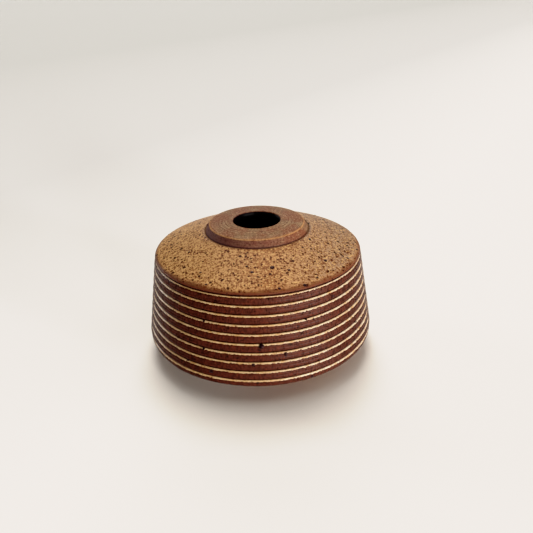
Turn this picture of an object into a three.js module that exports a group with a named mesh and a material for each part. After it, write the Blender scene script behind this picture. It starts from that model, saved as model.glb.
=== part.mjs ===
// A wheel-thrown stoneware bud vase: a low, wide closed form with a small mouth.
// The wall flares a little towards the floor and carries ten carved lines filled with cream slip.
// A chamfered underside lifts the wall off the table on a foot ring that the wall hides.
// Everything is turned about the Z axis, in millimetres, with Z = 0 on the table.

import * as THREE from 'three';

// Outline of the outside
const RIM_RADIUS = 45.1;         // corner between the wall and the shoulder
const RIM_HEIGHT = 47.5;
const RIM_ROUND = 0.6;          // how far the corner's rounding runs along each side
const BELLY_RADIUS = 50.7;      // where the straight wall would end if it didn't turn in
const BELLY_HEIGHT = 10.8;
const BELLY_TURN = 2.6;         // length of straight wall taken up by the turn
const SKIRT_INSET = 0.5;        // the wall's lower edge lies this far inside the belly
const SKIRT_HEIGHT = 8;
const SKIRT_ROUND = 1.0;

// Shoulder, collar and mouth
const SHOULDER_RISE = 8.3;      // from the rim's corner up to the collar's base
const SHOULDER_DOME = 0.5;      // how far the shoulder swells above a straight cone
const COLLAR_BASE_RADIUS = 22.6;
const COLLAR_TOP_RADIUS = 20.7;
const COLLAR_HEIGHT = 3.3;      // the flared side of the collar
const COLLAR_CROWN = 1.0;       // the collar's top climbs this much towards the mouth
const COLLAR_EASE = 0.35;       // softened edges of the collar
const MOUTH_RADIUS = 10.4;
const MOUTH_EASE = 0.5;

// Foot, trimmed underneath
const FOOT_RADIUS = 34;
const FOOT_WIDTH = 5;
const FOOT_STEP = 1.4;          // height of the foot ring's outer side
const FOOT_RECESS = 2.2;        // depth of the hollow inside the foot ring
const FOOT_EASE = 0.5;

// Clay thickness
const WALL = 4.5;
const SHOULDER = 4.2;
const FLOOR = 4.8;
const SHOULDER_CORNER = 6;      // inside rounding where the shoulder meets the wall
const FLOOR_CORNER = 11;        // inside rounding where the floor meets the wall
const THROAT_ROUND = 2.5;       // inside rounding below the mouth

// Carved lines and the slip that fills them
const LINE_COUNT = 10;
const TOP_MARGIN = 1.55;        // along the wall, from the rim's corner to the first line's middle
const BOTTOM_MARGIN = 2.95;     // from the last line's middle to the wall's lower edge
const LINE_WIDTH = 1.25;
const LINE_DEPTH = 0.75;
const LINE_FLANK = 0.25;        // how far the steep upper flank runs down the wall
const LOWER_LIP = 0.06;         // the lower lip of a line is scraped this much below the upper one
const BAND_CROWN = 0.16;        // each band between two lines swells outward
const SLIP_SET = 0.24;          // the slip's top edge lies this deep under the upper lip

// Glaze coats
const SHOULDER_GLAZE = 0.4;
const GLAZE_FEATHER = 0.8;      // length of a coat's tapered edge
const GLAZE_TO_COLLAR = 0.35;   // bare clay left at the collar
const GLAZE_TO_RIM = 0.9;       // bare clay left at the rim's corner
const LINER_GLAZE = 0.4;
const LINER_STOP = 1.2;         // the lining stops this far below the mouth
const FUSED_GAP = 0.05;         // clay and the layers fired onto it are drawn this far apart

// Facets
const SEGMENTS = 48;
const SHOULDER_STEPS = 4;
const CORNER_STEPS = 5;
const SMALL_CORNER_STEPS = 2;

// Colours
const CLAY = new THREE.MeshStandardMaterial({ color: 0x5a3226, roughness: 0.55, metalness: 0 });
const SLIP = new THREE.MeshStandardMaterial({ color: 0xd8b684, roughness: 0.5, metalness: 0 });
const OCHRE_GLAZE = new THREE.MeshStandardMaterial({ color: 0xab7c4c, roughness: 0.5, metalness: 0 });
const DARK_GLAZE = new THREE.MeshStandardMaterial({ color: 0x17100e, roughness: 0.25, metalness: 0 });

// Points of an outline are (radius, height)
const point = (radius, height) => new THREE.Vector2(radius, height);

const rim = point(RIM_RADIUS, RIM_HEIGHT);
const belly = point(BELLY_RADIUS, BELLY_HEIGHT);
const skirt = point(BELLY_RADIUS - SKIRT_INSET, SKIRT_HEIGHT);
const collarBase = point(COLLAR_BASE_RADIUS, RIM_HEIGHT + SHOULDER_RISE);
const collarEdge = point(COLLAR_TOP_RADIUS, collarBase.y + COLLAR_HEIGHT);
const mouth = point(MOUTH_RADIUS, collarEdge.y + COLLAR_CROWN);
const floorTop = FOOT_RECESS + FLOOR;

// A point that lies a given distance from one point towards another
function towards(from, to, distance) {
  return from.clone().add(to.clone().sub(from).setLength(distance));
}

// A softened corner: a curve from shortly before the corner to shortly after it
function softCorner(before, corner, after, size, steps) {
  const start = towards(corner, before, size);
  const end = towards(corner, after, size);
  return new THREE.QuadraticBezierCurve(start, corner, end).getPoints(steps);
}

// A line moved sideways, to its left when looking from start to end
function movedLine(start, end, distance) {
  const along = end.clone().sub(start).normalize();
  const left = point(-along.y, along.x).multiplyScalar(distance);
  return [start.clone().add(left), end.clone().add(left)];
}

// Where two endless lines cross
function crossing([a, b], [c, d]) {
  const ab = b.clone().sub(a);
  const cd = d.clone().sub(c);
  const share = c.clone().sub(a).cross(cd) / ab.cross(cd);
  return a.clone().addScaledVector(ab, share);
}

// An open outline moved sideways by the same distance everywhere
function movedOutline(points, distance) {
  const sides = [];
  for (let i = 0; i + 1 < points.length; i += 1) {
    sides.push(movedLine(points[i], points[i + 1], distance));
  }
  const moved = [sides[0][0]];
  for (let i = 0; i + 1 < sides.length; i += 1) {
    moved.push(crossing(sides[i], sides[i + 1]));
  }
  moved.push(sides[sides.length - 1][1]);
  return moved;
}

// A closed outline drawn in by the same distance on every side
function drawnIn(points, distance) {
  const direction = Math.sign(THREE.ShapeUtils.area(points));
  const sides = points.map((p, i) => movedLine(p, points[(i + 1) % points.length], direction * distance));
  return sides.map((side, i) => crossing(sides[(i + sides.length - 1) % sides.length], side));
}

// The wall's middle line from the rim down to the skirt: straight, then turning in
const turnStart = towards(belly, rim, BELLY_TURN);
const wallLine = new THREE.CurvePath();
wallLine.add(new THREE.LineCurve(rim, turnStart));
wallLine.add(new THREE.QuadraticBezierCurve(turnStart, belly, skirt));
const wallLength = wallLine.getLength();
const linePitch = (wallLength - TOP_MARGIN - BOTTOM_MARGIN) / (LINE_COUNT - 1);

// A point at a distance down the wall, and some way out of it
function onWall(distance, out) {
  const share = distance / wallLength;
  const tangent = wallLine.getTangentAt(share);
  const outward = point(-tangent.y, tangent.x);
  return wallLine.getPointAt(share).addScaledVector(outward, out);
}

// One carved line, from its upper lip to its lower lip
function carvedLine(index) {
  const middle = TOP_MARGIN + index * linePitch;
  const top = middle - LINE_WIDTH / 2;
  return {
    upperLip: onWall(top, 0),
    slipTop: onWall(top + (LINE_FLANK * SLIP_SET) / LINE_DEPTH, -SLIP_SET),
    root: onWall(top + LINE_FLANK, -LINE_DEPTH),
    lowerLip: onWall(middle + LINE_WIDTH / 2, -LOWER_LIP),
    nextCrown: onWall(middle + linePitch / 2, BAND_CROWN),
  };
}

const lines = Array.from({ length: LINE_COUNT }, (_, index) => carvedLine(index));

// The grooved wall, from the rim's corner to the last carved line
function wallOutline() {
  const outline = [];
  lines.forEach((line, index) => {
    outline.push(line.upperLip, line.root, line.lowerLip);
    if (index < LINE_COUNT - 1) {
      outline.push(line.nextCrown);
    }
  });
  return outline;
}

// The shoulder from the rim to the collar, swelling a little above a straight cone
const shoulderMiddle = rim.clone().lerp(collarBase, 0.5);
const shoulderSwell = point(shoulderMiddle.x, shoulderMiddle.y + 2 * SHOULDER_DOME);
const shoulderLine = new THREE.QuadraticBezierCurve(rim, shoulderSwell, collarBase);

// Underneath: hollow, foot ring and chamfer, from the axis out to the skirt
function undersideOutline() {
  const footInner = FOOT_RADIUS - FOOT_WIDTH;
  const footTop = point(FOOT_RADIUS, FOOT_STEP);
  const lastLip = lines[LINE_COUNT - 1].lowerLip;
  return [
    point(0, FOOT_RECESS),
    point(footInner - FOOT_EASE, FOOT_RECESS),
    point(footInner, FOOT_RECESS - FOOT_EASE),
    point(footInner, FOOT_EASE),
    point(footInner + FOOT_EASE, 0),
    point(FOOT_RADIUS - FOOT_EASE, 0),
    point(FOOT_RADIUS, FOOT_EASE),
    footTop,
    ...softCorner(footTop, skirt, lastLip, SKIRT_ROUND, SMALL_CORNER_STEPS),
  ];
}

// From the rim's corner over the shoulder and the collar to the mouth
function topOutline() {
  const shoulderPoints = shoulderLine.getPoints(SHOULDER_STEPS).slice(1);
  const corner = softCorner(lines[0].upperLip, rim, shoulderPoints[0], RIM_ROUND, SMALL_CORNER_STEPS);
  return [
    ...corner,
    ...shoulderPoints,
    ...softCorner(collarBase, collarEdge, mouth, COLLAR_EASE, 1),
    towards(mouth, collarEdge, MOUTH_EASE),
    point(MOUTH_RADIUS, mouth.y - MOUTH_EASE),
  ];
}

// The hollow, from the throat below the mouth round to the middle of the floor
const innerWall = movedLine(rim, belly, -WALL);
const innerShoulder = movedLine(rim, collarBase, SHOULDER);
const throatSide = [mouth, point(MOUTH_RADIUS, floorTop)];
const floorSide = [point(0, floorTop), point(FOOT_RADIUS, floorTop)];
const throat = crossing(throatSide, innerShoulder);
const shoulderCorner = crossing(innerShoulder, innerWall);
const floorCorner = crossing(innerWall, floorSide);

function hollowOutline() {
  return [
    ...softCorner(mouth, throat, shoulderCorner, THROAT_ROUND, CORNER_STEPS - 2),
    ...softCorner(throat, shoulderCorner, floorCorner, SHOULDER_CORNER, CORNER_STEPS),
    ...softCorner(shoulderCorner, floorCorner, point(0, floorTop), FLOOR_CORNER, CORNER_STEPS),
    point(0, floorTop),
  ];
}

// A solid turned about the Z axis from an outline that starts and ends on the axis
function turned(name, outline, material) {
  const geometry = new THREE.LatheGeometry(outline, SEGMENTS);
  geometry.rotateX(Math.PI / 2);
  const mesh = new THREE.Mesh(geometry, material);
  mesh.name = name;
  return mesh;
}

// A ring turned from a closed outline, drawn in so that it clears the clay it is fired onto
function firedOn(name, outline, material) {
  const ring = drawnIn(outline, FUSED_GAP);
  return turned(name, [...ring, ring[0]], material);
}

// The thrown and carved clay in one piece
function clayBody() {
  const outline = [
    ...undersideOutline(),
    ...wallOutline().reverse(),
    ...topOutline(),
    ...hollowOutline(),
  ];
  return turned('clay_body', outline, CLAY);
}

// The slip in one carved line
function slipLine(line, index) {
  const number = String(index + 1).padStart(2, '0');
  return firedOn(`slip_line_${number}`, [line.lowerLip, line.slipTop, line.root], SLIP);
}

// The ochre coat on the shoulder, with a tapered edge at the collar and at the rim
function shoulderGlaze() {
  const clay = shoulderLine.getPoints(SHOULDER_STEPS);
  const last = clay.length - 1;
  clay[0] = towards(clay[0], clay[1], GLAZE_TO_RIM);
  clay[last] = towards(clay[last], clay[last - 1], GLAZE_TO_COLLAR);
  const face = movedOutline(clay, -SHOULDER_GLAZE);
  face[0] = towards(face[0], face[1], GLAZE_FEATHER);
  face[last] = towards(face[last], face[last - 1], GLAZE_FEATHER);
  return firedOn('shoulder_glaze', [...face, ...clay.reverse()], OCHRE_GLAZE);
}

// The dark lining that makes the hollow watertight, from below the mouth to the floor's middle
function linerGlaze() {
  const start = point(MOUTH_RADIUS, mouth.y - LINER_STOP);
  const clay = [start, ...hollowOutline()];
  const back = movedOutline(clay, -FUSED_GAP);
  const face = movedOutline(clay, -FUSED_GAP - LINER_GLAZE);
  back[back.length - 1].x = 0;
  face[face.length - 1].x = 0;
  face[0].y -= GLAZE_FEATHER;
  return turned('liner_glaze', [...back.reverse(), ...face], DARK_GLAZE);
}

const vase = new THREE.Group();
vase.name = 'bud_vase';
vase.add(clayBody());
lines.forEach((line, index) => vase.add(slipLine(line, index)));
vase.add(shoulderGlaze());
vase.add(linerGlaze());

export default vase;
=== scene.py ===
# %% [markdown]
# # A carved and slip-lined stoneware bud vase
# The pot was thrown on a wheel, trimmed upside down, and carved while the clay was leather hard.
# Ten cream lines ring its dark wall, a speckled ochre glaze covers the shoulder, and the collar
# round the mouth is bare clay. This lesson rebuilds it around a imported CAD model, piece by piece.
# Everything round the axis comes from one Geometry Nodes tree that works as the wheel does: it
# takes an outline and turns it.

import math

import bpy
from mathutils import Matrix, Vector


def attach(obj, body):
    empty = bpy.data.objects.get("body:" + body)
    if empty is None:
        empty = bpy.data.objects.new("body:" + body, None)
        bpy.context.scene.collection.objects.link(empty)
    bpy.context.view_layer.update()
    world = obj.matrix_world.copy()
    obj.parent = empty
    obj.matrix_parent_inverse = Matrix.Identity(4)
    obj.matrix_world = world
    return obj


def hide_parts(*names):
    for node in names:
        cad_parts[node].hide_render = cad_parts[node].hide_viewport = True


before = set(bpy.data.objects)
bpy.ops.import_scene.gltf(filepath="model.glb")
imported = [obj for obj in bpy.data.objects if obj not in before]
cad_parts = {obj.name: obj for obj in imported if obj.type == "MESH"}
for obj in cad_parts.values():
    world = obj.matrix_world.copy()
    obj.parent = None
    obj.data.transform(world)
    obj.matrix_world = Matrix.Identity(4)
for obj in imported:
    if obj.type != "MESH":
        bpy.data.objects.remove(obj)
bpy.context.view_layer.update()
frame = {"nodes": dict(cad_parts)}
print("CAD pieces:", ", ".join(frame["nodes"]))

# %% [markdown]
# ## The camera first
# The photo looks down on the pot by 27 degrees from a little under a foot away, as a phone held
# close does. Setting the camera first means that every later render can be laid beside the photo.
# The view is turned a little about its own axis, because the phone wasn't held quite level.

# %% Camera
PHOTO_SIZE = 533                 # width and height of the frame
FOCAL_PIXELS = 600               # focal length, measured in the frame's own pixels
CAMERA_DISTANCE = 0.2752         # from the lens to the middle of the wall, on the axis
CAMERA_AIM = Vector((0, 0, 0.0285))
CAMERA_DOWN = math.radians(27.02)
CAMERA_YAW = math.radians(-0.77)
CAMERA_PITCH = math.radians(1.62)
CAMERA_ROLL = math.radians(-2.25)

camera_data = bpy.data.cameras.new("photo_camera")
camera_data.sensor_width = 36
camera_data.lens = camera_data.sensor_width * FOCAL_PIXELS / PHOTO_SIZE
camera_data.clip_start = 0.01
camera = bpy.data.objects.new("photo_camera", camera_data)
bpy.context.scene.collection.objects.link(camera)
step_back = Vector((0, -math.cos(CAMERA_DOWN), math.sin(CAMERA_DOWN))) * CAMERA_DISTANCE
camera.matrix_world = (
    Matrix.Translation(CAMERA_AIM + step_back)
    @ Matrix.Rotation(math.pi / 2 - CAMERA_DOWN, 4, "X")
    @ Matrix.Rotation(CAMERA_YAW, 4, "Y")
    @ Matrix.Rotation(CAMERA_PITCH, 4, "X")
    @ Matrix.Rotation(CAMERA_ROLL, 4, "Z")
)
bpy.context.scene.camera = camera
print("Camera lens in mm:", round(camera_data.lens, 1))

# %% [markdown]
# A phone holds back the brightest parts of a picture, so that white paper doesn't burn out, and
# deepens the darkest. This curve takes a little off every tone but black, and bends everything
# above a knee towards one white, here a slightly warm one. This is why the shadows on the paper
# look so soft in the photo.

# %% Tone curve
TONE_TOE = 0.035                      # what the curve takes off
TONE_KNEE = 0.68                      # where it starts to bend
TONE_WHITE = (0.925, 0.882, 0.858)    # red, green and blue of the brightest paper
TONE_RANGE = 2.0                      # any brighter light looks the same as this one
TONE_STEPS = 30
LIT_PAPER = 1.15


def toned(light, white):
    """How bright a light is shown, in a channel with this white."""
    light -= TONE_TOE * (1 - math.exp(-light / TONE_TOE))
    if light < TONE_KNEE:
        return light
    room = white - TONE_KNEE
    return TONE_KNEE + room * (1 - math.exp((TONE_KNEE - light) / room))


view = bpy.context.scene.view_settings
view.view_transform = "Standard"
view.use_curve_mapping = True
view.curve_mapping.white_level = (TONE_RANGE, TONE_RANGE, TONE_RANGE)
for curve, white in zip(view.curve_mapping.curves, TONE_WHITE):
    curve.points[-1].location = (1.0, toned(TONE_RANGE, white))
    for step in range(1, TONE_STEPS):
        share = (step / TONE_STEPS) ** 2    # closer together in the dark
        curve.points.new(share, toned(TONE_RANGE * share, white))
view.curve_mapping.update()
print("Lit paper is shown as", [round(toned(LIT_PAPER, white), 2) for white in TONE_WHITE])

# %% [markdown]
# ## The pot's measures
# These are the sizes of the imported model, in millimetres. An outline is a list of points that say
# how far from the axis and how high above the table the clay reaches. The wall runs straight
# from the rim and turns in near the floor; the shoulder swells a little above a straight cone.

# %% Measures, in millimetres
RIM = Vector((45.1, 47.5))
BELLY = Vector((50.7, 10.8))
BELLY_TURN = 2.6                 # the wall starts to turn in this far above the belly
SKIRT = Vector((50.2, 8.0))      # the wall's lower edge
SHOULDER_DOME = 0.5
COLLAR_BASE = Vector((22.6, 55.8))
COLLAR_EDGE = Vector((20.7, 59.1))
MOUTH = Vector((10.4, 60.1))
FOOT_RADIUS = 34.0
FOOT_WIDTH = 5.0
FOOT_STEP = 1.4
FOOT_RECESS = 2.2
WALL = 4.5
SHOULDER = 4.2
FLOOR = 4.8
LINE_COUNT = 10
TOP_MARGIN = 1.55                # from the rim to the middle of the first line
BOTTOM_MARGIN = 2.95             # from the middle of the last line to the skirt
LINE_WIDTH = 1.25
FIRST_LINE_LOW = 0.2             # the first line lies this far below its even place
COAT = 0.45                      # how far the glaze stands out from the clay
LINING = 0.45
WALL_TURN_STEPS = 16
SHOULDER_STEPS = 24
MM = 0.001                       # in the scene's metres

# %% Outlines
def bend(start, corner, end, steps):
    """Points along a smooth bend from start to end, pulled towards the corner."""
    shares = [step / steps for step in range(steps + 1)]
    return [(1 - t) ** 2 * start + 2 * t * (1 - t) * corner + t * t * end for t in shares]


def on_path(path, distance, out=0.0):
    """A point some way along a path, moved out to the left of it."""
    for start, end in zip(path, path[1:]):
        length = (end - start).length
        if distance <= length or end is path[-1]:
            along = (end - start) / length
            return start + along * distance + Vector((-along.y, along.x)) * out
        distance -= length


def path_length(path):
    return sum((end - start).length for start, end in zip(path, path[1:]))


turn_start = BELLY + (RIM - BELLY).normalized() * BELLY_TURN
wall_path = [RIM, *bend(turn_start, BELLY, SKIRT, WALL_TURN_STEPS)]
swell = (RIM + COLLAR_BASE) / 2 + Vector((0, 2 * SHOULDER_DOME))
shoulder_path = bend(COLLAR_BASE, swell, RIM, SHOULDER_STEPS)
line_pitch = (path_length(wall_path) - TOP_MARGIN - BOTTOM_MARGIN) / (LINE_COUNT - 1)
print("Wall length:", round(path_length(wall_path), 2), "mm, line pitch:", round(line_pitch, 3), "mm")

# %% [markdown]
# ## Rows of an outline
# A potter's edge is never the same twice round: it chips, and slip is scraped back unevenly. So
# each row of an outline has two places, an even one and a worn one, and noise later decides how
# far each spot of the turned piece moves from the one to the other. A row also says whether the
# potter coated it, with wash or glaze, how much it counts as an edge, where coats pool or thin,
# and how far the wash thins over the rim. The edge and rim marks also carry painted light:
# painted shade under the lips, on the collar's side and foot, inside the lip and under the
# skirt, and a painted highlight along the collar's edge.

# %% Rows
def row(even, worn=None, coated=0.0, edge=0.0, toasted=0.0):
    even = Vector(even)
    return {
        "even": even,
        "worn": even if worn is None else Vector(worn),
        "finish": (coated, edge, toasted),
    }


def ribbed(start, end, ribs, depth, **finish):
    """Rows between two points, with the fine, uneven ribs that a trimming tool leaves."""
    side = (end - start).normalized()
    out = Vector((side.y, -side.x))
    rows = []
    for number in range(2 * ribs + 1):
        lift = depth * (number % 2) * (0.6 + 0.4 * math.sin(2.4 * number))
        rows.append(row(start.lerp(end, number / (2 * ribs)) + out * lift, **finish))
    return rows


print("A row at the rim:", row(RIM, coated=1.0))

# %% [markdown]
# ## One carved line
# A loop tool drawn round the turning pot cuts in steeply under the band above and runs out gently
# on the band below, like overlapping boards. The upper edge overhangs and throws a dark line of
# shadow; the cream slip lies on the gentle lower side. Clay that the tool pushed aside stands up
# as a soft bead above each line, with a shallow valley over it.

# %% The wall's section at one line
UPPER_LIP = (
    # distance below the line's top, distance out, the same where it is chipped, edge, which paints shade on
    # the wash under the lip
    (-0.60, 0.17, -0.72, 0.12, 0.0),
    (-0.40, 0.11, -0.56, 0.04, 0.3),
    (-0.26, 0.00, -0.44, -0.08, 1.0),
    (-0.17, -0.18, -0.34, -0.26, 1.0),
)
GROOVE = ((-0.05, -0.52), (0.10, -0.76), (0.30, -0.62), (1.00, -0.14))
BAND = (
    (1.18, 0.03), (1.38, 0.08), (1.62, 0.13), (1.86, 0.15),
    (2.12, 0.09), (2.36, 0.07), (2.64, 0.18), (2.92, 0.22),
)
# Deeper than this the wash is darkened: partly where it pools, partly as painted shade under the lip.
DARK_GROOVE_DEPTH = -0.5    # wash pools where the groove is deeper than this


def line_top(index):
    return TOP_MARGIN + index * line_pitch - LINE_WIDTH / 2 + (FIRST_LINE_LOW if index == 0 else 0.0)


def wall_rows():
    """The carved wall from the rim down, all of it under iron wash."""
    rows = []
    for index in range(LINE_COUNT):
        top = line_top(index)
        lip = UPPER_LIP[1:] if index == 0 else UPPER_LIP    # the rim is close over the first line
        for below, out, chip_below, chip_out, edge in lip:
            even = on_path(wall_path, top + below, out)
            worn = on_path(wall_path, top + chip_below, chip_out)
            rows.append(row(even, worn, coated=1.0, edge=edge))
        band = BAND[:2] if index + 1 == LINE_COUNT else BAND
        for below, out in GROOVE + band:
            darkened = 1.0 if out < DARK_GROOVE_DEPTH else 0.0
            rows.append(row(on_path(wall_path, top + below, out), coated=1.0, edge=darkened))
    return rows


print("Lines start at", [round(line_top(index), 1) for index in range(LINE_COUNT)], "mm below the rim")

# %% [markdown]
# ## The wheel
# Geometry Nodes can do what Spin or Screw does and more: this tree lays a grid round the axis, one
# row of the grid for each row of the outline, and takes each vertex to its place on the circle.
# Because the tree reads the outline from the piece's own vertices, the same wheel turns the clay,
# the slip, the glaze and the lining. Noise mixes the even and the worn outline, and a slower noise
# pushes everything in by up to a tenth of a millimetre, as hands do.

# %% A helper that adds a node
def socket(sockets, key):
    """The socket of that number, or the first one in use of that name."""
    if isinstance(key, int):
        return sockets[key]
    return next(s for s in sockets if s.enabled and s.name == key)


def give(tree, node, inputs):
    """Gives inputs of a node a value, another node's first output, or (node, output)."""
    for key, value in inputs.items():
        target = socket(node.inputs, key)
        if isinstance(value, bpy.types.Node):
            value = next(s for s in value.outputs if s.enabled)
        elif isinstance(value, tuple) and isinstance(value[0], bpy.types.Node):
            value = socket(value[0].outputs, value[1])
        if isinstance(value, bpy.types.NodeSocket):
            tree.links.new(value, target)
        else:
            target.default_value = value


def add(tree, kind, inputs=None, **settings):
    """Adds a node, sets it and gives it its inputs."""
    node = tree.nodes.new(kind)
    for name, value in settings.items():
        setattr(node, name, value)
    give(tree, node, inputs or {})
    return node


def new_tree(name, inputs):
    """A Geometry Nodes tree with named inputs of the given socket kinds, and its two end nodes."""
    tree = bpy.data.node_groups.new(name, "GeometryNodeTree")
    for label, kind in inputs.items():
        tree.interface.new_socket(label, in_out="INPUT", socket_type=kind)
    tree.interface.new_socket("Geometry", in_out="OUTPUT", socket_type="NodeSocketGeometry")
    return tree, add(tree, "NodeGroupInput"), add(tree, "NodeGroupOutput")

# %% The turning tree
NOISE_LOW = 0.3         # nearly all of a noise's values lie between these two
NOISE_HIGH = 0.7
WEAR_NONE = 0.75        # with a share of zero, wear starts where the noise hardly reaches
WEAR_RAMP = 0.22        # and it is full this much higher
WELD_DISTANCE = 1e-6    # metres


def turning_tree():
    tree, given, result = new_tree("turned_on_a_wheel", {
        "Outline": "NodeSocketGeometry",
        "Facets": "NodeSocketInt",
        "Wear Size": "NodeSocketFloat",
        "Wear Share": "NodeSocketFloat",
        "Wobble": "NodeSocketFloat",
        "Wobble Size": "NodeSocketFloat",
        "Seed": "NodeSocketFloat",
        "Material": "NodeSocketMaterial",
        "Coat Material": "NodeSocketMaterial",
    })
    rows = add(tree, "GeometryNodeAttributeDomainSize", {"Geometry": (given, "Outline")}, component="MESH")
    columns = add(tree, "FunctionNodeIntegerMath", {0: (given, "Facets"), 1: 1}, operation="ADD")
    grid = add(tree, "GeometryNodeMeshGrid", {"Vertices X": (rows, "Point Count"), "Vertices Y": columns})
    with_map = add(
        tree, "GeometryNodeStoreNamedAttribute",
        {"Geometry": (grid, "Mesh"), "Name": "UVMap", "Value": (grid, "UV Map")},
        data_type="FLOAT2", domain="CORNER",
    )

    index = add(tree, "GeometryNodeInputIndex")
    row_number = add(tree, "FunctionNodeIntegerMath", {0: index, 1: columns}, operation="DIVIDE_FLOOR")
    column = add(tree, "FunctionNodeIntegerMath", {0: index, 1: columns}, operation="MODULO")
    share_round = add(tree, "ShaderNodeMath", {0: column, 1: (given, "Facets")}, operation="DIVIDE")
    angle = add(tree, "ShaderNodeMath", {0: share_round, 1: -2 * math.pi}, operation="MULTIPLY")

    def turned(value):
        """The outline's value at this row, turned round the axis to this column."""
        here = add(
            tree, "GeometryNodeSampleIndex",
            {"Geometry": (given, "Outline"), "Value": value, "Index": row_number},
            data_type="FLOAT_VECTOR", domain="POINT",
        )
        return add(tree, "ShaderNodeVectorRotate", {"Vector": here, "Angle": angle}, rotation_type="Z_AXIS")

    even = turned(add(tree, "GeometryNodeInputPosition"))
    worn = turned(add(tree, "GeometryNodeInputNamedAttribute", {"Name": "worn"}, data_type="FLOAT_VECTOR"))
    own_finish = add(
        tree, "GeometryNodeInputNamedAttribute", {"Name": "finish"}, data_type="FLOAT_VECTOR",
    )
    finish = add(
        tree, "GeometryNodeSampleIndex",
        {"Geometry": (given, "Outline"), "Value": own_finish, "Index": row_number},
        data_type="FLOAT_VECTOR", domain="POINT",
    )

    wear_scale = add(tree, "ShaderNodeMath", {0: 1.0, 1: (given, "Wear Size")}, operation="DIVIDE")
    wear_noise = add(
        tree, "ShaderNodeTexNoise",
        {"Vector": even, "W": (given, "Seed"), "Scale": wear_scale, "Detail": 3.0, "Roughness": 0.6},
        noise_dimensions="4D",
    )
    wear_start = add(
        tree, "ShaderNodeMath", {0: WEAR_NONE, 1: (given, "Wear Share")}, operation="SUBTRACT",
    )
    wear_end = add(tree, "ShaderNodeMath", {0: wear_start, 1: WEAR_RAMP}, operation="ADD")
    wear = add(
        tree, "ShaderNodeMapRange",
        {"Value": wear_noise, "From Min": wear_start, "From Max": wear_end},
    )
    place = add(tree, "ShaderNodeMix", {"Factor": wear, "A": even, "B": worn}, data_type="VECTOR")

    wobble_scale = add(tree, "ShaderNodeMath", {0: 1.0, 1: (given, "Wobble Size")}, operation="DIVIDE")
    wobble_noise = add(tree, "ShaderNodeTexNoise", {"Vector": even, "Scale": wobble_scale, "Detail": 1.0})
    inward = add(tree, "ShaderNodeMath", {0: (given, "Wobble"), 1: -1.0}, operation="MULTIPLY")
    wobble = add(
        tree, "ShaderNodeMapRange",
        {
            "Value": wobble_noise, "From Min": NOISE_LOW, "From Max": NOISE_HIGH,
            "To Min": inward, "To Max": 0.0,
        },
    )
    flat = add(tree, "ShaderNodeVectorMath", {0: place, 1: (1.0, 1.0, 0.0)}, operation="MULTIPLY")
    outward = add(tree, "ShaderNodeVectorMath", {0: flat}, operation="NORMALIZE")
    push = add(tree, "ShaderNodeVectorMath", {0: outward, "Scale": wobble}, operation="SCALE")

    marked = add(
        tree, "GeometryNodeStoreNamedAttribute",
        {"Geometry": with_map, "Name": "finish", "Value": finish},
        data_type="FLOAT_VECTOR", domain="POINT",
    )
    shaped = add(tree, "GeometryNodeSetPosition", {"Geometry": marked, "Position": place, "Offset": push})
    closed = add(
        tree, "GeometryNodeMergeByDistance", {"Geometry": shaped, "Distance": WELD_DISTANCE},
    )
    smooth = add(tree, "GeometryNodeSetShadeSmooth", {"Geometry": closed})
    real = add(tree, "GeometryNodeRealizeInstances", {"Geometry": smooth})
    bare = add(tree, "GeometryNodeSetMaterial", {"Geometry": real, "Material": (given, "Material")})
    marks = add(tree, "ShaderNodeSeparateXYZ", {"Vector": own_finish})
    is_coated = add(
        tree, "FunctionNodeCompare", {0: (marks, "X"), 1: 0.5},
        data_type="FLOAT", operation="GREATER_THAN",
    )
    finished = add(
        tree, "GeometryNodeSetMaterial",
        {"Geometry": bare, "Selection": is_coated, "Material": (given, "Coat Material")},
    )
    give(tree, result, {"Geometry": finished})
    return tree


wheel = turning_tree()
print("Turning tree:", len(wheel.nodes), "nodes")

# %% Putting an outline on the wheel
def made_plain(piece, tree, values):
    """Runs a tree on a piece and keeps the result as the piece's own plain mesh."""
    modifier = piece.modifiers.new(tree.name, "NODES")
    modifier.node_group = tree
    for item in tree.interface.items_tree:
        if item.in_out == "INPUT" and item.name in values:
            modifier[item.identifier] = values[item.name]
    bpy.context.scene.collection.objects.link(piece)
    graph = bpy.context.evaluated_depsgraph_get()
    finished = bpy.data.meshes.new_from_object(
        piece.evaluated_get(graph), preserve_all_data_layers=True, depsgraph=graph
    )
    piece.modifiers.clear()
    piece.data = finished
    finished.name = piece.name
    triangles = sum(len(face.vertices) - 2 for face in finished.polygons)
    print(piece.name, "has", triangles, "triangles")
    return piece


WOBBLE = 0.00008      # metres
WOBBLE_SIZE = 0.03    # metres


def turn(name, rows, material, facets, wear_size, wear_share, coat_material=None, seed=0.0):
    """Turns the rows of an outline, from the axis or from a closed section, into a finished piece."""
    outline = bpy.data.meshes.new(name)
    outline.from_pydata([(r["even"].x * MM, 0, r["even"].y * MM) for r in rows], [], [])
    worn = outline.attributes.new("worn", "FLOAT_VECTOR", "POINT")
    finish = outline.attributes.new("finish", "FLOAT_VECTOR", "POINT")
    for number, r in enumerate(rows):
        worn.data[number].vector = (r["worn"].x * MM, 0, r["worn"].y * MM)
        finish.data[number].vector = r["finish"]
    return made_plain(bpy.data.objects.new(name, outline), wheel, {
        "Facets": facets,
        "Wear Size": wear_size,
        "Wear Share": wear_share,
        "Wobble": WOBBLE,
        "Wobble Size": WOBBLE_SIZE,
        "Seed": seed,
        "Material": material,
        "Coat Material": coat_material or material,
    })

# %% [markdown]
# ## Colours and patterns
# Colours are written as sRGB hex, as a picture program shows them, and turned to the linear
# values that shaders work in. Patterns are noise in the piece's own space, so a pattern's scale
# is simply how many of its grains fit into a metre.

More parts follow.
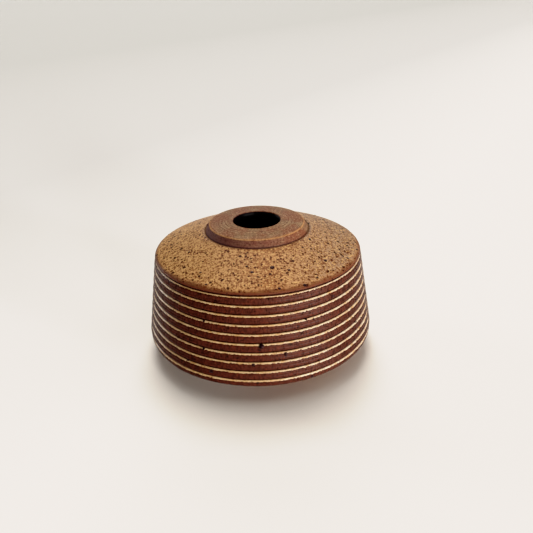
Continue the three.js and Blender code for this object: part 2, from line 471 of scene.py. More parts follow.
# %% Helpers for materials
def paint(hex_colour):
    """An sRGB hex colour as the linear colour that a shader works with."""
    channels = [int(hex_colour[i:i + 2], 16) / 255 for i in (1, 3, 5)]
    linear = [c / 12.92 if c <= 0.04045 else ((c + 0.055) / 1.055) ** 2.4 for c in channels]
    return (*linear, 1.0)


def grains(size_mm):
    """How many grains of that size fit into a metre."""
    return 1000 / size_mm


def new_material(name):
    material = bpy.data.materials.new(name)
    material.use_nodes = True
    tree = material.node_tree
    shader = next(n for n in tree.nodes if n.type == "BSDF_PRINCIPLED")
    coordinates = add(tree, "ShaderNodeTexCoord")
    return material, tree, shader, (coordinates, "Object")


print("Half grey in linear light:", round(paint("#808080")[0], 3))

# %% Helpers for layers and marks
def stained(tree, colour, stain, mark, none_at, full_at, strength=1.0):
    """Lays a stain over a colour, more of it as the mark goes from the one value to the other."""
    share = add(
        tree, "ShaderNodeMapRange",
        {"Value": mark, "From Min": none_at, "From Max": full_at, "To Max": strength},
    )
    return add(tree, "ShaderNodeMix", {"Factor": share, "A": colour, "B": paint(stain)}, data_type="RGBA")


def from_axis(tree, place):
    """Distance from the turning axis."""
    across = add(tree, "ShaderNodeVectorMath", {0: place, 1: (1.0, 1.0, 0.0)}, operation="MULTIPLY")
    return add(tree, "ShaderNodeVectorMath", {0: across}, operation="LENGTH")


def finish_marks(tree):
    """The coated, edge and thin-wash-and-shade marks that the outline's rows carry; the last two also carry
    painted shade and a painted highlight.
    """
    finish = add(tree, "ShaderNodeAttribute", attribute_name="finish")
    return add(tree, "ShaderNodeSeparateXYZ", {"Vector": (finish, "Vector")})

# %% [markdown]
# ## Bare stoneware
# The collar, the foot and the underside are trimmed clay with nothing on it. Iron in the clay
# fires to a warm brown. Painted shade makes it darker and redder on the collar's side, most of all
# on the left, away from the window, and under the skirt, and near black in the crevice at the
# collar's foot and inside the lip. A painted highlight lightens the collar's rounded edge. Coarse
# sand shows as light and dark grains, and the trimming tool leaves fine lines round the axis.
# Unglazed clay is rough and porous, so it hardly shines.

# %% Bare stoneware material
def bare_stoneware():
    material, tree, shader, place = new_material("bare_stoneware")
    part = add(tree, "ShaderNodeSeparateXYZ", {"Vector": place})
    out_and_down = add(
        tree, "ShaderNodeMath", {0: from_axis(tree, place), 1: (part, "Z")}, operation="SUBTRACT",
    )
    lines = add(
        tree, "ShaderNodeTexNoise",
        {"W": out_and_down, "Scale": grains(0.8), "Detail": 3.0, "Roughness": 0.75},
        noise_dimensions="1D",
    )
    sand = add(tree, "ShaderNodeTexNoise", {"Vector": place, "Scale": grains(0.7), "Detail": 2.0})
    clouds = add(tree, "ShaderNodeTexNoise", {"Vector": place, "Scale": grains(7.0), "Detail": 3.0})
    marks = finish_marks(tree)
    colour = stained(tree, paint("#69432D"), "#917452", lines, 0.38, 0.62)
    colour = stained(tree, colour, "#7A472D", clouds, 0.42, 0.60, 0.75)
    colour = stained(tree, colour, "#BB9A72", sand, 0.56, 0.66, 0.45)
    # A painted highlight along the collar's rounded edge.
    colour = stained(tree, colour, "#AD8056", (marks, "Y"), 0.2, 1.0, 0.6)
    # Painted shade: the collar's side, the inner lip and the underside are darkened and reddened, most of
    # all on the left, away from the window.
    shade_to_left = add(
        tree, "ShaderNodeMapRange",
        {"Value": (part, "X"), "From Min": -0.018, "From Max": 0.022, "To Min": 0.9, "To Max": 0.3},
    )
    toast = add(tree, "ShaderNodeMath", {0: (marks, "Z"), 1: shade_to_left}, operation="MULTIPLY")
    colour = stained(tree, colour, "#60403D", toast, 0.0, 1.0)
    # Near-black painted shade in the crevice at the collar's foot and down inside the lip.
    colour = stained(tree, colour, "#170C0C", (marks, "Z"), 1.0, 2.0)
    colour = stained(tree, colour, "#351911", sand, 0.44, 0.35, 0.5)
    relief = add(tree, "ShaderNodeMath", {0: lines, 1: sand}, operation="ADD")
    bump = add(tree, "ShaderNodeBump", {"Height": relief, "Distance": 0.00012, "Strength": 0.8})
    give(tree, shader, {
        "Base Color": colour, "Normal": bump, "Roughness": 0.6, "Specular IOR Level": 0.1,
    })
    return material


stoneware = bare_stoneware()
print(stoneware.name, "has", len(stoneware.node_tree.nodes), "nodes")

# %% [markdown]
# ## Stoneware under iron wash
# The wall was brushed with a thin wash of iron oxide, which fires to a satin chocolate brown. It
# is darker under the lip of each band and deep in each groove, partly where it pools and partly
# as painted shade, and the drag of the carving tool shows as fine upright streaks. Dark grains of
# iron and red grains of clay sit in it. It thins to a dull ochre brown where it breaks over the
# rim. Right of the front it is painted paler, as a sheen, with darker streaks of painted shade,
# and it is painted darker again at the far right, where that sheen ends.

# %% Iron wash material
def iron_wash():
    material, tree, shader, place = new_material("iron_washed_stoneware")
    upright = add(tree, "ShaderNodeMapping", {"Vector": place, "Scale": (1.0, 1.0, 0.25)})
    streaks = add(
        tree, "ShaderNodeTexNoise",
        {"Vector": upright, "Scale": grains(0.65), "Detail": 3.0, "Roughness": 0.65},
    )
    mottle = add(
        tree, "ShaderNodeTexNoise",
        {"Vector": place, "Scale": grains(2.5), "Detail": 4.0, "Roughness": 0.65},
    )
    grain = add(tree, "ShaderNodeTexNoise", {"Vector": place, "Scale": grains(0.9), "Detail": 2.0})
    marks = finish_marks(tree)
    part = add(tree, "ShaderNodeSeparateXYZ", {"Vector": place})
    colour = stained(tree, paint("#361912"), "#552D23", streaks, 0.38, 0.60)
    # A painted sheen: paler right of the front, where the window's light falls.
    colour = stained(tree, colour, "#63443A", (part, "X"), -0.03, 0.02, 0.42)
    # Painted shade: darker streaks, more of them towards the right.
    darkened = add(tree, "ShaderNodeMath", {0: (part, "X"), 1: -4.0, 2: streaks}, operation="MULTIPLY_ADD")
    colour = stained(tree, colour, "#260E09", darkened, 0.37, 0.27, 0.75)
    # Painted shade at the far right, where the painted sheen ends.
    colour = stained(tree, colour, "#34180F", (part, "X"), 0.027, 0.043, 0.5)
    colour = stained(tree, colour, "#744A36", (marks, "Z"), 0.0, 1.0, 0.8)
    colour = stained(tree, colour, "#5B2D22", mottle, 0.46, 0.68, 0.35)
    colour = stained(tree, colour, "#6E3829", grain, 0.58, 0.66, 0.45)
    # Darker under each lip and deep in each groove: partly pooled wash, partly painted shade.
    colour = stained(tree, colour, "#0E0301", (marks, "Y"), 0.0, 1.0, 0.5)
    colour = stained(tree, colour, "#100503", grain, 0.38, 0.31, 0.7)
    relief = add(tree, "ShaderNodeMath", {0: streaks, 1: grain}, operation="ADD")
    bump = add(tree, "ShaderNodeBump", {"Height": relief, "Distance": 0.00012, "Strength": 1.0})
    sheen = add(
        tree, "ShaderNodeMapRange",
        {"Value": mottle, "From Min": 0.35, "From Max": 0.65, "To Min": 0.25, "To Max": 0.31},
    )
    give(tree, shader, {
        "Base Color": colour, "Normal": bump, "Roughness": sheen, "Specular IOR Level": 0.06,
    })
    return material


wash = iron_wash()
print(wash.name, "has", len(wash.node_tree.nodes), "nodes")

# %% [markdown]
# ## The thrown clay
# Foot, underside, wall, shoulder, collar, mouth and hollow are one piece of clay, so they are one
# outline here too. It starts on the axis under the floor and ends on the axis inside.

# %% The clay's outline
# Millimetres that each corner is rounded over.
FOOT_ROUND = 0.6
SKIRT_ROUND = 1.6
RIM_ROUND = 1.0
ARRIS_ROUND = 0.35
LIP_ROUND = 0.5
COLLAR_FOOT = ((0.15, 1.6), (0.45, 1.4))    # how far up the collar's side, how dark its painted shade is
# How dark painted shade makes the lip, from its top down into the mouth.
LIP_PAINTED_SHADE = (0.0, 0.0, 0.6, 1.4, 1.8)


def clay_rows():
    """The clay from the axis under the floor, round the outside, to the axis inside."""
    foot_inner = FOOT_RADIUS - FOOT_WIDTH
    rows = ribbed(
        Vector((0, FOOT_RECESS)), Vector((foot_inner - FOOT_ROUND, FOOT_RECESS)), ribs=4, depth=0.08,
    )
    foot_corners = (
        ((foot_inner - 0.5, FOOT_RECESS), (foot_inner, FOOT_RECESS), (foot_inner, FOOT_RECESS - FOOT_ROUND)),
        ((foot_inner, FOOT_ROUND), (foot_inner, 0), (foot_inner + FOOT_ROUND, 0)),
        ((FOOT_RADIUS - FOOT_ROUND, 0), (FOOT_RADIUS, 0), (FOOT_RADIUS, FOOT_ROUND)),
    )
    for start, corner, end in foot_corners:
        rows += [row(p) for p in bend(Vector(start), Vector(corner), Vector(end), 2)]
    foot_top = Vector((FOOT_RADIUS, FOOT_STEP))
    under_skirt = SKIRT + (foot_top - SKIRT).normalized() * SKIRT_ROUND
    # Painted shade under the skirt.
    rows += ribbed(foot_top, under_skirt, ribs=5, depth=0.07, toasted=0.6)
    last_band = on_path(wall_path, line_top(LINE_COUNT - 1) + 1.9, 0.05)
    skirt_edge = bend(under_skirt, SKIRT, last_band, 5)[1:]
    rows += [row(p, worn=p - Vector((0.12, 0)), coated=1.0) for p in skirt_edge]
    rows += list(reversed(wall_rows()))
    over_rim = shoulder_path[-1] + (shoulder_path[-2] - shoulder_path[-1]).normalized() * RIM_ROUND
    rim_edge = bend(on_path(wall_path, 0.45, 0.08), RIM, over_rim, 4)
    rows += [row(p, coated=1.0, toasted=1.0) for p in rim_edge]
    under_glaze = shoulder_path[:-1:SHOULDER_STEPS // 3]    # the glaze hides it, so three rows will do
    rows += [row(p) for p in reversed(under_glaze)]
    collar_side = (COLLAR_EDGE - COLLAR_BASE).normalized()
    # Painted shade on the collar's foot, a near-black crevice line, and on its side.
    rows += [row(COLLAR_BASE + collar_side * up, toasted=toasted) for up, toasted in COLLAR_FOOT]
    rows += ribbed(
        COLLAR_BASE + collar_side * 0.7, COLLAR_EDGE - collar_side * 0.5, ribs=3, depth=0.05, toasted=1.0,
    )
    collar_in = (MOUTH - COLLAR_EDGE).normalized()
    arris = bend(
        COLLAR_EDGE - collar_side * ARRIS_ROUND, COLLAR_EDGE, COLLAR_EDGE + collar_in * ARRIS_ROUND, 3,
    )
    rows += [row(p, worn=p + Vector((-0.12, -0.10)), edge=1.0) for p in arris]
    rows += ribbed(COLLAR_EDGE + collar_in * 0.5, MOUTH - collar_in * 0.7, ribs=13, depth=0.07)
    lip = bend(MOUTH - collar_in * LIP_ROUND, MOUTH, MOUTH - Vector((0, LIP_ROUND)), 4)
    rows += [
        row(p, worn=p + Vector((0.10, -0.08)), toasted=toasted)
        for p, toasted in zip(lip, LIP_PAINTED_SHADE)
    ]
    rows += [row(p) for p in hollow_path()]
    return rows

# %% The hollow
THROAT_ROUND = 2.5
HOLLOW_TOP_ROUND = 6.0
HOLLOW_FLOOR_ROUND = 11.0


def moved(start, end, distance):
    """A straight side moved to its left."""
    along = (end - start).normalized()
    left = Vector((-along.y, along.x)) * distance
    return start + left, end + left


def crossing(first, second):
    """Where two straight sides would meet."""
    a, b = first
    c, d = second
    share = (c - a).cross(d - c) / (b - a).cross(d - c)
    return a + (b - a) * share


def rounded(before, corner, after, length, steps):
    """A corner between two others, rounded over a length on both of its sides."""
    start = corner + (before - corner).normalized() * length
    end = corner + (after - corner).normalized() * length
    return bend(start, corner, end, steps)


def hollow_path(inset=0.0):
    """The inside from the throat to the middle of the floor, moved into the hollow by the inset."""
    inner_wall = moved(RIM, BELLY, -WALL - inset)
    inner_shoulder = moved(RIM, COLLAR_BASE, SHOULDER + inset)
    floor_top = FOOT_RECESS + FLOOR + inset
    throat_top = Vector((MOUTH.x - inset, MOUTH.y))
    throat = crossing((throat_top, Vector((throat_top.x, 0))), inner_shoulder)
    corner = crossing(inner_shoulder, inner_wall)
    floor_corner = crossing(inner_wall, (Vector((0, floor_top)), Vector((1, floor_top))))
    middle = Vector((0, floor_top))
    return [
        *rounded(throat_top, throat, corner, THROAT_ROUND, 3),
        *rounded(throat, corner, floor_corner, HOLLOW_TOP_ROUND, 4),
        *rounded(corner, floor_corner, middle, HOLLOW_FLOOR_ROUND, 6),
        middle,
    ]


print("The clay's outline has", len(clay_rows()), "rows,", len(hollow_path()), "of them inside")

# %% Turn the clay
clay = turn(
    "thrown_clay", clay_rows(), stoneware,
    facets=390, wear_size=0.0014, wear_share=0.2, coat_material=wash,
)
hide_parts("clay_body")
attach(clay, "root")

# %% [markdown]
# ## Cream slip in the carved lines
# Slip is clay stirred into cream with water. It is brushed over a carved line and scraped back, so
# it ends ragged where the tool skipped over the sandy clay. Painting the ragged edge into a
# texture would be quicker, but here each ring is its own piece with a real ragged edge: 1400
# facets round, and an outline that wear can narrow by half. The iron under it stains the white
# slip to cream. It is browner at its thin edges, and painted paler on the right, as a sheen.

# %% Cream slip material
def cream_slip():
    material, tree, shader, place = new_material("cream_slip")
    clouds = add(tree, "ShaderNodeTexNoise", {"Vector": place, "Scale": grains(2.2), "Detail": 3.0})
    grain = add(tree, "ShaderNodeTexNoise", {"Vector": place, "Scale": grains(0.6), "Detail": 2.0})
    marks = finish_marks(tree)
    thin = add(tree, "ShaderNodeMath", {0: (marks, "Y"), 1: grain}, operation="MULTIPLY")
    part = add(tree, "ShaderNodeSeparateXYZ", {"Vector": place})
    # A painted sheen: paler towards the right.
    colour = stained(tree, paint("#D5B589"), "#DFC6A9", (part, "X"), 0.004, 0.034)
    colour = stained(tree, colour, "#C59864", clouds, 0.40, 0.70)
    colour = stained(tree, colour, "#6B3824", thin, 0.2, 0.8)
    colour = stained(tree, colour, "#5B2E1E", grain, 0.40, 0.31, 0.8)
    bump = add(tree, "ShaderNodeBump", {"Height": grain, "Distance": 0.00008, "Strength": 0.7})
    give(tree, shader, {
        "Base Color": colour, "Normal": bump, "Roughness": 0.32, "Specular IOR Level": 0.7,
    })
    return material


slip = cream_slip()
print(slip.name, "has", len(slip.node_tree.nodes), "nodes")

# %% The ten slip rings
SLIP_SECTION = (
    # distance below the line's top and out of the wall, the same where it is scraped thin, edge
    (1.22, -0.16, 0.86, -0.38, 1.0),
    (1.25, 0.01, 0.80, -0.22, 1.0),
    (1.08, 0.00, 0.74, -0.24, 0.3),
    (0.86, -0.09, 0.67, -0.26, 0.0),
    (0.62, -0.25, 0.58, -0.32, 0.0),
    (0.46, -0.40, 0.50, -0.42, 0.2),
    (0.40, -0.54, 0.46, -0.52, 0.6),
    (0.52, -0.62, 0.51, -0.62, 1.0),
    (0.92, -0.34, 0.72, -0.47, 1.0),
)
SLIP_FACETS = 1400
SLIP_WEAR = 0.34
FIRST_SLIP_WEAR = 0.45    # the line at the rim is scraped most


def slip_rows(index):
    rows = []
    for below, out, thin_below, thin_out, edge in (*SLIP_SECTION, SLIP_SECTION[0]):
        even = on_path(wall_path, line_top(index) + below, out)
        worn = on_path(wall_path, line_top(index) + thin_below, thin_out)
        rows.append(row(even, worn, edge=edge))
    return rows


for index in range(LINE_COUNT):
    ring = turn(
        f"cream_line_{index + 1:02d}", slip_rows(index), slip,
        facets=SLIP_FACETS, wear_size=0.00055,
        wear_share=FIRST_SLIP_WEAR if index == 0 else SLIP_WEAR, seed=index + 1.0,
    )
    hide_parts(f"slip_line_{index + 1:02d}")
    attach(ring, "root")

# %% [markdown]
# ## Ochre glaze on the shoulder
# An iron-bearing matte glaze over speckled clay. Grains of iron in the clay bleed up through it in
# the firing: thousands of small brown specks, and a few larger ones that melt into blue-black
# spots. The glaze is thin and brown where it breaks over the rim. It is painted lighter and
# yellower on the left, as painted light, and greyer and duller on the right, as a painted sheen.

# %% Ochre glaze material
# Metres: how far noise takes the brown edges from an even ring, and bends the specks' cells.
RAGGED_BY = 0.0022
CELL_BEND = 0.0008
SPECKS = (
    # mm between cells, widest speck and softness as shares of a cell, strength, colour
    (0.85, 0.50, 0.16, 0.78, "#62331C"),
    (1.3, 0.40, 0.10, 0.95, "#4E2413"),
    (2.3, 0.30, 0.06, 0.95, "#361810"),
)


def ochre_glaze():
    material, tree, shader, place = new_material("speckled_ochre_glaze")
    clouds = add(tree, "ShaderNodeTexNoise", {"Vector": place, "Scale": grains(16.0), "Detail": 3.0})
    mottle = add(
        tree, "ShaderNodeTexNoise",
        {"Vector": place, "Scale": grains(1.1), "Detail": 3.0, "Roughness": 0.75},
    )
    grain = add(tree, "ShaderNodeTexNoise", {"Vector": place, "Scale": grains(0.8), "Detail": 2.0})
    colour = stained(tree, paint("#AC7F54"), "#9B6B41", clouds, 0.38, 0.62)
    part = add(tree, "ShaderNodeSeparateXYZ", {"Vector": place})
    # Painted light: lighter and yellower on the left.
    colour = stained(tree, colour, "#BF9666", (part, "X"), 0.0, -0.032, 0.8)
    # A painted sheen: greyer and duller on the right.
    colour = stained(tree, colour, "#947B63", (part, "X"), 0.006, 0.036, 0.9)
    colour = stained(tree, colour, "#693A20", mottle, 0.50, 0.55, 0.7)
    colour = stained(tree, colour, "#C39A64", grain, 0.54, 0.60, 0.8)

    spread = add(tree, "ShaderNodeMath", {0: clouds, 1: mottle}, operation="ADD")
    ragged = add(
        tree, "ShaderNodeMath", {0: spread, 1: RAGGED_BY, 2: from_axis(tree, place)},
        operation="MULTIPLY_ADD",
    )
    colour = stained(tree, colour, "#8E6245", ragged, 0.0452, 0.0462, 0.5)
    colour = stained(tree, colour, "#5E3A28", ragged, 0.0461, 0.0467, 0.75)
    colour = stained(tree, colour, "#5E4A42", ragged, 0.0262, 0.0248, 0.7)

    warp = add(tree, "ShaderNodeTexNoise", {"Vector": place, "Scale": grains(0.8), "Detail": 1.0})
    warp_centre = add(
        tree, "ShaderNodeVectorMath", {0: (warp, "Color"), 1: (0.5, 0.5, 0.5)}, operation="SUBTRACT",
    )
    warp_step = add(tree, "ShaderNodeVectorMath", {0: warp_centre, "Scale": CELL_BEND}, operation="SCALE")
    warped = add(tree, "ShaderNodeVectorMath", {0: place, 1: warp_step}, operation="ADD")
    for spacing, widest, soft, strength, hue in SPECKS:
        cells = add(tree, "ShaderNodeTexVoronoi", {"Vector": warped, "Scale": grains(spacing)})
        chance = add(tree, "ShaderNodeSeparateColor", {"Color": (cells, "Color")})
        reach = add(
            tree, "ShaderNodeMapRange",
            {"Value": (chance, "Red"), "From Min": 0.15, "To Min": -0.1, "To Max": widest},
        )
        beyond = add(tree, "ShaderNodeMath", {0: cells, 1: reach}, operation="SUBTRACT")
        colour = stained(tree, colour, hue, beyond, soft, 0.0, strength)

    relief = add(tree, "ShaderNodeMath", {0: mottle, 1: grain}, operation="ADD")
    bump = add(tree, "ShaderNodeBump", {"Height": relief, "Distance": 0.00014, "Strength": 0.7})
    give(tree, shader, {
        "Base Color": colour, "Normal": bump, "Roughness": 0.46, "Specular IOR Level": 0.08,
    })
    return material


glaze = ochre_glaze()
print(glaze.name, "has", len(glaze.node_tree.nodes), "nodes")

# %% The glaze coat
COAT_START = (
    # distance from the collar along the shoulder and out of the clay, the same where it is worn
    (0.35, -0.05, 0.35, -0.05),
    (0.38, 0.14, 0.46, 0.12),
    (0.55, 0.32, 0.66, 0.26),
    (0.95, 0.43, 1.10, 0.38),
)
COAT_END = (
    # distance from the rim along the shoulder and out of the clay, the same where it is worn
    (1.5, 0.40, 1.8, 0.36),
    (0.8, 0.30, 1.1, 0.22),
    (0.3, 0.12, 0.6, 0.06),
    (0.1, -0.05, 0.4, -0.05),
)
COAT_FACE = (1.7, 3.3, 12)    # mm from the collar, mm from the rim, steps between
COAT_BACK = (0.8, 1.6, 5)     # the same for the back
BACK_DEPTH = -0.05            # the back lies this far inside the clay


def coat_rows():
    """A closed coat: over the shoulder from the collar to the rim, and back just inside the clay."""
    length = path_length(shoulder_path)
    face = list(COAT_START)
    near, far, steps = COAT_FACE
    for step in range(steps + 1):
        place = near + (length - near - far) * step / steps
        face.append((place, COAT, place, COAT))
    face += [(length - a, b, length - c, d) for a, b, c, d in COAT_END]
    rows = [
        row(on_path(shoulder_path, a, b), on_path(shoulder_path, c, d), coated=1.0)
        for a, b, c, d in face
    ]
    near, far, steps = COAT_BACK
    for step in range(steps + 1):
        place = length - far - (length - near - far) * step / steps
        rows.append(row(on_path(shoulder_path, place, BACK_DEPTH)))
    return list(reversed([*rows, rows[0]]))


coat = turn("ochre_coat", coat_rows(), glaze, facets=480, wear_size=0.0025, wear_share=0.25)
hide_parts("shoulder_glaze")
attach(coat, "root")

# %% [markdown]
# ## The dark lining
# Stoneware weeps a little, so the potter pours a glossy dark glaze in, swills it round and tips it
# out. It laps up to just inside the mouth and makes the hole look black.

# %% Lining material and piece
def lining_glaze():
    material, tree, shader, place = new_material("dark_lining_glaze")
    clouds = add(tree, "ShaderNodeTexNoise", {"Vector": place, "Scale": grains(6.0), "Detail": 3.0})
    colour = stained(tree, paint("#070405"), "#140B0A", clouds, 0.3, 0.7)
    bump = add(tree, "ShaderNodeBump", {"Height": clouds, "Distance": 0.0001, "Strength": 0.3})
    give(tree, shader, {
        "Base Color": colour, "Normal": bump, "Roughness": 0.4, "Specular IOR Level": 0.08,
    })
    return material


LINING_DEPTH = -0.02    # its back lies this far inside the clay
LINING_EDGE = (
    # out from the mouth's edge and up from it, the same where the edge runs lower
    (0.02, -0.40, 0.02, -0.75),
    (-0.14, -0.55, -0.12, -0.90),
    (-0.28, -0.95, -0.26, -1.30),
    (-LINING, -1.90, -LINING, -1.90),
)


def lining_rows():
    """A closed lining: up the clay to just inside the lip, and down again over its own face."""
    edge = [row(MOUTH + Vector((a, b)), MOUTH + Vector((c, d))) for a, b, c, d in LINING_EDGE]
    back = [row(p) for p in hollow_path(LINING_DEPTH)]
    face = [row(p) for p in hollow_path(LINING)]
    return [*reversed(back), *edge, *face]


lining = turn("dark_lining", lining_rows(), lining_glaze(), facets=240, wear_size=0.002, wear_share=0.25)
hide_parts("liner_glaze")
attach(lining, "root")

# %% [markdown]
# ## Iron spots
# Grains of iron ore in the clay melt in the kiln and swell up through wash, slip and glaze as
# glossy blue-black blisters, the largest two and a half millimetres wide. Small specks are only
# colour, but these stand up from the surface, so they are geometry: a tree scatters points over
# the coated faces, adds those that are listed, and lays a flat, uneven bead on each. The
# large ones in front lie where this pot has them, and those at the back are made up.

# %% Iron spot material
def melted_iron():
    material, tree, shader, place = new_material("melted_iron")
    clouds = add(tree, "ShaderNodeTexNoise", {"Vector": place, "Scale": grains(0.7), "Detail": 2.0})
    colour = stained(tree, paint("#1A0C0E"), "#3A2A30", clouds, 0.4, 0.7)
    give(tree, shader, {
        "Base Color": colour, "Roughness": 0.35,
        "Specular IOR Level": 0.2, "Specular Tint": paint("#FFC0A0"),
    })
    return material


iron = melted_iron()
print(iron.name, "has", len(iron.node_tree.nodes), "nodes")

# %% The spotting tree
BEAD_LEAST = (0.85, 0.55, 0.16)    # length, width and height as shares of a bead's size
BEAD_MOST = (1.1, 0.9, 0.24)
BEAD_PUSH = 0.0006                 # metres; half of it at most, either way


def spotting_tree():
    tree, given, result = new_tree("iron_spots", {
        "Placed": "NodeSocketGeometry",
        "Surface": "NodeSocketObject",
        "Spots per Square Metre": "NodeSocketFloat",
        "Least Size": "NodeSocketFloat",
        "Most Size": "NodeSocketFloat",
        "Seed": "NodeSocketInt",
        "Material": "NodeSocketMaterial",
    })
    pot = add(tree, "GeometryNodeObjectInfo", {"Object": (given, "Surface")})
    finish = add(tree, "GeometryNodeInputNamedAttribute", {"Name": "finish"}, data_type="FLOAT_VECTOR")
    marks = add(tree, "ShaderNodeSeparateXYZ", {"Vector": finish})
    is_coated = add(
        tree, "FunctionNodeCompare", {0: (marks, "X"), 1: 0.5},
        data_type="FLOAT", operation="GREATER_THAN",
    )
    scattered = add(
        tree, "GeometryNodeDistributePointsOnFaces",
        {
            "Mesh": (pot, "Geometry"),
            "Selection": is_coated,
            "Density": (given, "Spots per Square Metre"),
            "Seed": (given, "Seed"),
        },
        distribute_method="RANDOM",
    )
    chance = add(
        tree, "FunctionNodeRandomValue", {"Min": 0.0, "Max": 1.0, "Seed": (given, "Seed")},
        data_type="FLOAT",
    )
    few_large = add(tree, "ShaderNodeMath", {0: chance, 1: 4.0}, operation="POWER")
    size = add(
        tree, "ShaderNodeMapRange",
        {"Value": few_large, "To Min": (given, "Least Size"), "To Max": (given, "Most Size")},
    )
    sized = add(
        tree, "GeometryNodeStoreNamedAttribute",
        {"Geometry": (scattered, "Points"), "Name": "size", "Value": size},
        data_type="FLOAT", domain="POINT",
    )
    placed = add(tree, "GeometryNodeMeshToPoints", {"Mesh": (given, "Placed")})
    points = add(tree, "GeometryNodeJoinGeometry", {"Geometry": placed})
    give(tree, points, {"Geometry": sized})

    normal = add(
        tree, "GeometryNodeSampleNearestSurface",
        {"Mesh": (pot, "Geometry"), "Value": add(tree, "GeometryNodeInputNormal")},
        data_type="FLOAT_VECTOR",
    )
    spin = add(
        tree, "FunctionNodeRandomValue",
        {"Min": (0.0, 0.0, 0.0), "Max": (0.0, 0.0, 2 * math.pi), "Seed": 5},
        data_type="FLOAT_VECTOR",
    )
    spun = add(tree, "FunctionNodeEulerToRotation", {"Euler": spin})
    lying = add(
        tree, "FunctionNodeAlignRotationToVector",
        {"Rotation": spun, "Factor": 1.0, "Vector": normal},
        axis="Z",
    )
    shape = add(
        tree, "FunctionNodeRandomValue",
        {"Min": BEAD_LEAST, "Max": BEAD_MOST, "Seed": 8},
        data_type="FLOAT_VECTOR",
    )
    width = add(tree, "GeometryNodeInputNamedAttribute", {"Name": "size"}, data_type="FLOAT")
    stretch = add(tree, "ShaderNodeVectorMath", {0: shape, "Scale": width}, operation="SCALE")
    bead = add(tree, "GeometryNodeMeshIcoSphere", {"Radius": 0.5, "Subdivisions": 2})
    beads = add(
        tree, "GeometryNodeInstanceOnPoints",
        {"Points": points, "Instance": (bead, "Mesh"), "Rotation": lying, "Scale": stretch},
    )
    real = add(tree, "GeometryNodeRealizeInstances", {"Geometry": beads})
    push = add(tree, "ShaderNodeTexNoise", {"Scale": grains(0.6), "Detail": 1.0})
    centred = add(
        tree, "ShaderNodeVectorMath", {0: (push, "Color"), 1: (0.5, 0.5, 0.5)}, operation="SUBTRACT",
    )
    shift = add(tree, "ShaderNodeVectorMath", {0: centred, "Scale": BEAD_PUSH}, operation="SCALE")
    uneven = add(tree, "GeometryNodeSetPosition", {"Geometry": real, "Offset": shift})
    smooth = add(tree, "GeometryNodeSetShadeSmooth", {"Geometry": uneven})
    finished = add(tree, "GeometryNodeSetMaterial", {"Geometry": smooth, "Material": (given, "Material")})
    give(tree, result, {"Geometry": finished})
    return tree


spotting = spotting_tree()
print("Spotting tree:", len(spotting.nodes), "nodes")

# %% The spots
SHOULDER_SPOTS = (
    # degrees round to the right from the front, mm from the collar, width in mm
    (9, 11.9, 2.1), (46, 15.8, 1.7), (-8, 10.6, 1.3), (-4, 13.9, 1.6), (-36, 17.2, 1.1),
    (-60, 10.7, 1.3), (61, 20.8, 1.2), (75, 17.9, 1.2), (47, 7.4, 1.1), (42, 4.9, 1.1),
    (32, 21.7, 1.2), (23, 23.5, 1.6), (10, 22.9, 1.3), (-28, 22.1, 1.1), (96, 16.9, 1.3),
    (118, 13.2, 1.5), (137, 20.4, 1.2), (152, 8.9, 1.3), (171, 17.5, 1.8), (189, 22.6, 1.2),
    (207, 11.8, 1.5), (226, 19.1, 1.1), (243, 6.9, 1.2), (262, 15.4, 1.4),
)
WALL_SPOTS = (
    # degrees round to the right from the front, mm below the rim, width in mm
    (0, 21.8, 2.5), (11, 26.0, 1.8), (-28, 13.2, 1.2), (-28, 25.2, 1.4), (-44, 24.6, 1.5),
    (-37, 32.7, 1.5), (-24, 34.2, 2.0), (-4, 29.7, 1.5), (22, 13.1, 1.2), (55, 24.7, 1.5),
    (27, 32.4, 1.5), (-11, 1.3, 1.7), (26, 14.0, 1.2), (15, 32.4, 1.4), (39, 7.5, 1.1),
    (112, 9.5, 1.6), (128, 22.4, 1.3), (141, 30.2, 2.1), (163, 18.6, 1.5), (178, 26.1, 1.3),
    (196, 14.9, 1.9), (214, 33.0, 1.4), (233, 19.2, 1.6), (251, 27.1, 1.2), (268, 10.9, 1.4),
)
LEAST_SPOT = 0.0005    # metres, for those that are scattered
MOST_SPOT = 0.0016


def spots(name, surface, path, out, placed, density, seed):
    """Iron spots on a surface: some listed along a path, the others scattered."""
    mesh = bpy.data.meshes.new(name)
    corners = []
    for degrees, distance, _ in placed:
        point = on_path(path, distance, out)
        turn_by = math.radians(degrees)
        corners.append(Vector((math.sin(turn_by) * point.x, -math.cos(turn_by) * point.x, point.y)) * MM)
    mesh.from_pydata(corners, [], [])
    size = mesh.attributes.new("size", "FLOAT", "POINT")
    size.data.foreach_set("value", [width * MM for _, _, width in placed])
    piece = made_plain(bpy.data.objects.new(name, mesh), spotting, {
        "Surface": surface,
        "Spots per Square Metre": density,
        "Least Size": LEAST_SPOT,
        "Most Size": MOST_SPOT,
        "Seed": seed,
        "Material": iron,
    })
    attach(piece, "root")


spots("iron_spots_on_shoulder", coat, shoulder_path, COAT, SHOULDER_SPOTS, density=4500, seed=3)
spots("iron_spots_on_wall", clay, wall_path, 0.1, WALL_SPOTS, density=9000, seed=4)

# %% [markdown]
# ## Floor and light
# The pot stands on a wide sweep of pale paper that fades to the left, away from the window. Area
# lamps would fade with distance; soft suns light the pot and the far paper alike. Most of the
# light comes from above and behind, so the shadow lies close in front of the foot. Two low
# windows at the front right light the carved wall, and a low light from behind on the left picks
# out that edge.

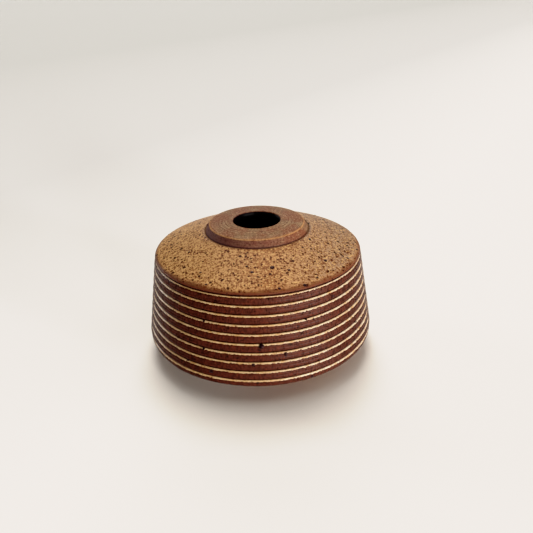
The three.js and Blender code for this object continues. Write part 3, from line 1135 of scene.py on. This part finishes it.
# %% Floor
def pale_paper():
    """Paper that gets greyer towards the left and the back, where it lies in the room's shade."""
    material, tree, shader, place = new_material("pale_paper")
    across = add(tree, "ShaderNodeVectorMath", {0: place, 1: (-1.2, 0.8, 0.0)}, operation="DOT_PRODUCT")
    colour = stained(tree, paint("#F5ECE0"), "#D5CFC8", (across, "Value"), 0.0, 0.45)
    colour = stained(tree, colour, "#C6C2BB", (across, "Value"), 0.45, 1.6)
    give(tree, shader, {"Base Color": colour, "Roughness": 0.9, "Specular IOR Level": 0.2})
    return material


SWEEP_FLAT = 14.0
SWEEP_TURN = 0.3
SWEEP_SIDES = 72
SWEEP_STEPS = 16
sweep_end = SWEEP_FLAT + SWEEP_TURN
sweep_path = bend(
    Vector((SWEEP_FLAT, 0)), Vector((sweep_end, 0)), Vector((sweep_end, SWEEP_TURN)), SWEEP_STEPS,
)
sweep_mesh = bpy.data.meshes.new("paper_sweep")
corners = [(0, 0, 0)]
for p in sweep_path:
    for side in range(SWEEP_SIDES):
        angle = 2 * math.pi * side / SWEEP_SIDES
        corners.append((p.x * math.cos(angle), p.x * math.sin(angle), p.y))
faces = [(0, 1 + side, 1 + (side + 1) % SWEEP_SIDES) for side in range(SWEEP_SIDES)]
for ring in range(len(sweep_path) - 1):
    for side in range(SWEEP_SIDES):
        inner = 1 + ring * SWEEP_SIDES + side
        inner_next = 1 + ring * SWEEP_SIDES + (side + 1) % SWEEP_SIDES
        faces.append((inner, inner + SWEEP_SIDES, inner_next + SWEEP_SIDES, inner_next))
sweep_mesh.from_pydata(corners, [], faces)
sweep_mesh.polygons.foreach_set("use_smooth", [True] * len(sweep_mesh.polygons))
sweep_mesh.materials.append(pale_paper())
sweep = bpy.data.objects.new("paper_sweep", sweep_mesh)
bpy.context.scene.collection.objects.link(sweep)
print("The paper is", round(2 * sweep_end, 1), "m across and has", len(faces), "faces")

# %% The room's walls
# The camera sees them pale. They light the pot hardly at all.
WALLS_SEEN = 0.9
WALLS_LIGHT = 0.01

world = bpy.data.worlds.new("pale_room")
world.use_nodes = True
walls = world.node_tree.nodes["Background"]
seen = add(world.node_tree, "ShaderNodeLightPath")
shine = add(
    world.node_tree, "ShaderNodeMath", {0: (seen, "Is Camera Ray"), 1: WALLS_SEEN, 2: WALLS_LIGHT},
    operation="MULTIPLY_ADD",
)
give(world.node_tree, walls, {"Color": paint("#F5EEE7"), "Strength": shine})
bpy.context.scene.world = world
print("World:", world.name)

# %% Lights
LIGHTS = (
    # name, degrees round to the right from the front, degrees up, degrees wide, strength
    ("ceiling", 0, 89, 40, 0.6),
    ("skylight", 180, 66, 30, 2.15),
    ("skylight_low", 180, 25, 40, 1.0),
    ("room_left", -120, 8, 16, 0.95),
    ("window", 90, 45, 40, 0.5),
    ("window_low", 52, 4, 8, 3.0),
    ("window_front", 25, 5, 10, 2.2),
)


def soft_light(name, round_right, up, wide, strength):
    """Even light from a round patch of the sky, all angles in degrees."""
    data = bpy.data.lights.new(name, "SUN")
    data.angle = math.radians(wide)
    data.energy = strength
    lamp = bpy.data.objects.new(name, data)
    across = math.cos(math.radians(up))
    towards_light = Vector((
        math.sin(math.radians(round_right)) * across,
        -math.cos(math.radians(round_right)) * across,
        math.sin(math.radians(up)),
    ))
    lamp.rotation_euler = (-towards_light).to_track_quat("-Z", "Y").to_euler()
    bpy.context.scene.collection.objects.link(lamp)


for light in LIGHTS:
    soft_light(*light)
print("Lights:", ", ".join(light[0] for light in LIGHTS))
